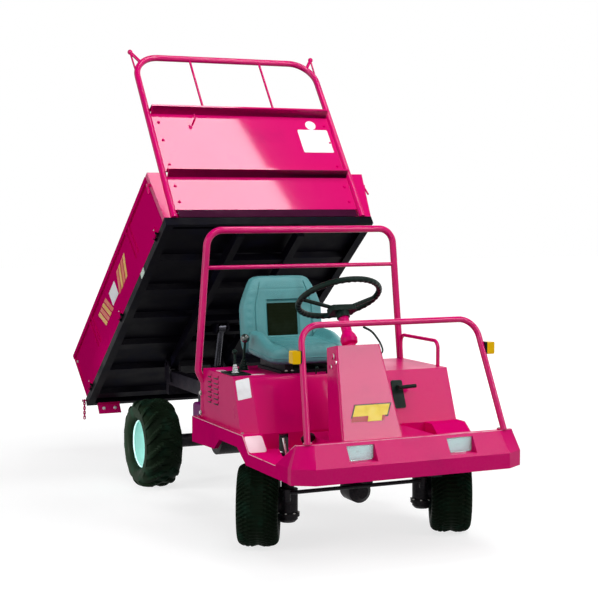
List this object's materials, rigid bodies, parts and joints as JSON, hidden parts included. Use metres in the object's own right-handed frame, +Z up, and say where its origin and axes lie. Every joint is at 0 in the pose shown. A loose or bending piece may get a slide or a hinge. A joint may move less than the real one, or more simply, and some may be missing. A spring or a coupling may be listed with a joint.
{
  "type": "ride-on site dumper with tipping drop-side bed",
  "caption": "Compact ride-on site dumper: steered front wheels, lugged rear wheels, front guard hoop, roll hoop, under-seat engine housing and tipping drop-side bed.",
  "frame": {"origin": "on the ground at the middle of the machine's outline with the bed raised", "axes": "+X to the machine's left, +Y to its rear, +Z up"},
  "size_m": [1.252, 3.159, 2.3592],
  "materials": {
    "amber_lens": "amber lens",
    "bare_steel": "machined",
    "black_plastic": "moulded",
    "body_paint": "gloss red enamel",
    "dark_steel": "satin black",
    "lamp_lens": "clear lens",
    "rim_paint": "gloss white",
    "seat_vinyl": "grained vinyl",
    "tyre_rubber": "matt"
  },
  "bodies": {
    "chassis": {"chassis_frame": "dark_steel", "cross_members": "dark_steel", "pedals": "dark_steel", "bed_brackets": "dark_steel", "lift_bracket": "dark_steel", "front_axle": "dark_steel", "rear_axle": "dark_steel", "engine_block": "dark_steel", "console": "body_paint", "front_deck": "body_paint", "skirt_right": "body_paint", "skirt_left": "body_paint", "bumper": "body_paint", "headlamps": "lamp_lens", "front_hoop": "body_paint", "turn_lamps": "amber_lens", "roll_hoop": "body_paint", "arm_rail": "body_paint", "steering_tower": "body_paint", "steering_column": "dark_steel", "seat_base": "dark_steel", "seat_cushion": "seat_vinyl", "seat_back": "seat_vinyl", "side_levers": "black_plastic", "tank": "dark_steel", "tow_hitch": "dark_steel"},
    "steering_wheel": {"steering_wheel": "black_plastic"},
    "knuckle_right": {"knuckle_right": "dark_steel"},
    "knuckle_left": {"knuckle_left": "dark_steel"},
    "tie_rod": {"tie_rod": "dark_steel"},
    "wheel_front_right": {"tyre_front_right": "tyre_rubber", "rim_front_right": "rim_paint"},
    "wheel_front_left": {"tyre_front_left": "tyre_rubber", "rim_front_left": "rim_paint"},
    "wheel_rear_right": {"tyre_rear_right": "tyre_rubber", "rim_rear_right": "rim_paint"},
    "wheel_rear_left": {"tyre_rear_left": "tyre_rubber", "rim_rear_left": "rim_paint"},
    "bed": {"bed_floor": "dark_steel", "bed_subframe": "dark_steel", "gate_chain": "bare_steel", "headboard": "body_paint", "guard_frame": "body_paint", "tail_lamps": "body_paint"},
    "side_gate_right": {"side_gate_right": "body_paint"},
    "side_gate_left": {"side_gate_left": "body_paint"},
    "tailgate": {"tailgate": "body_paint"},
    "lift_barrel": {"lift_barrel": "dark_steel"},
    "lift_rod": {"lift_rod": "bare_steel"}
  },
  "joints": [
    {"name": "steer_right", "type": "hinge", "parent": "chassis", "child": "knuckle_right", "pos_m": [-0.345, -1.025, 0.188], "axis": [0, 0, 1], "range_deg": [-3.5, 56.5]},
    {"name": "steer_left", "type": "hinge", "parent": "chassis", "child": "knuckle_left", "pos_m": [0.345, -1.025, 0.188], "axis": [0, 0, 1], "range_deg": [-3.5, 56.5]},
    {"name": "tie_rod_swing", "type": "hinge", "parent": "knuckle_right", "child": "tie_rod", "pos_m": [-0.39185, -1.11897, 0.262], "axis": [0, 0, 1], "range_deg": [-56.5, 3.5]},
    {"name": "steering_wheel_turn", "type": "hinge", "parent": "chassis", "child": "steering_wheel", "pos_m": [-0.092, -1.025, 1.11], "axis": [0, 0.5, 0.866], "continuous": true},
    {"name": "spin_front_right", "type": "hinge", "parent": "knuckle_right", "child": "wheel_front_right", "pos_m": [-0.46134, -0.96699, 0.188], "axis": [0.8949, -0.4462, 0], "continuous": true},
    {"name": "spin_front_left", "type": "hinge", "parent": "knuckle_left", "child": "wheel_front_left", "pos_m": [0.46134, -1.08301, 0.188], "axis": [0.8949, -0.4462, 0], "continuous": true},
    {"name": "spin_rear_right", "type": "hinge", "parent": "chassis", "child": "wheel_rear_right", "pos_m": [-0.47, 0.486, 0.239], "axis": [1, 0, 0], "continuous": true},
    {"name": "spin_rear_left", "type": "hinge", "parent": "chassis", "child": "wheel_rear_left", "pos_m": [0.47, 0.486, 0.239], "axis": [1, 0, 0], "continuous": true},
    {"name": "bed_tip", "type": "hinge", "parent": "chassis", "child": "bed", "pos_m": [0, 1.008, 0.598], "axis": [-1, 0, 0], "range_deg": [-37.14, 0]},
    {"name": "lift_barrel_swing", "type": "hinge", "parent": "chassis", "child": "lift_barrel", "pos_m": [0, 0.825, 0.3], "axis": [-1, 0, 0], "range_deg": [-22.73, 0]},
    {"name": "lift_rod_slide", "type": "slide", "parent": "lift_barrel", "child": "lift_rod", "axis": [0, -0.2875, 0.9578], "range_m": [-0.19023, 0]},
    {"name": "side_gate_right_drop", "type": "hinge", "parent": "bed", "child": "side_gate_right", "pos_m": [-0.59, 0.6663, 0.91701], "axis": [0, -0.7972, 0.6038], "range_deg": [0, 90]},
    {"name": "side_gate_left_drop", "type": "hinge", "parent": "bed", "child": "side_gate_left", "pos_m": [0.59, 0.6663, 0.91701], "axis": [0, 0.7972, -0.6038], "range_deg": [0, 90]},
    {"name": "tailgate_drop", "type": "hinge", "parent": "bed", "child": "tailgate", "pos_m": [0, 1.41085, 0.3531], "axis": [-1, 0, 0], "range_deg": [0, 90]}
  ],
  "couplings": [
    {"joint": "steer_left", "follows": "steer_right", "ratio": 1},
    {"joint": "tie_rod_swing", "follows": "steer_right", "ratio": -1},
    {"joint": "lift_barrel_swing", "follows": "bed_tip", "ratio": 0.61172},
    {"joint": "lift_rod_slide", "follows": "bed_tip", "m_per_rad": 0.29332}
  ]
}
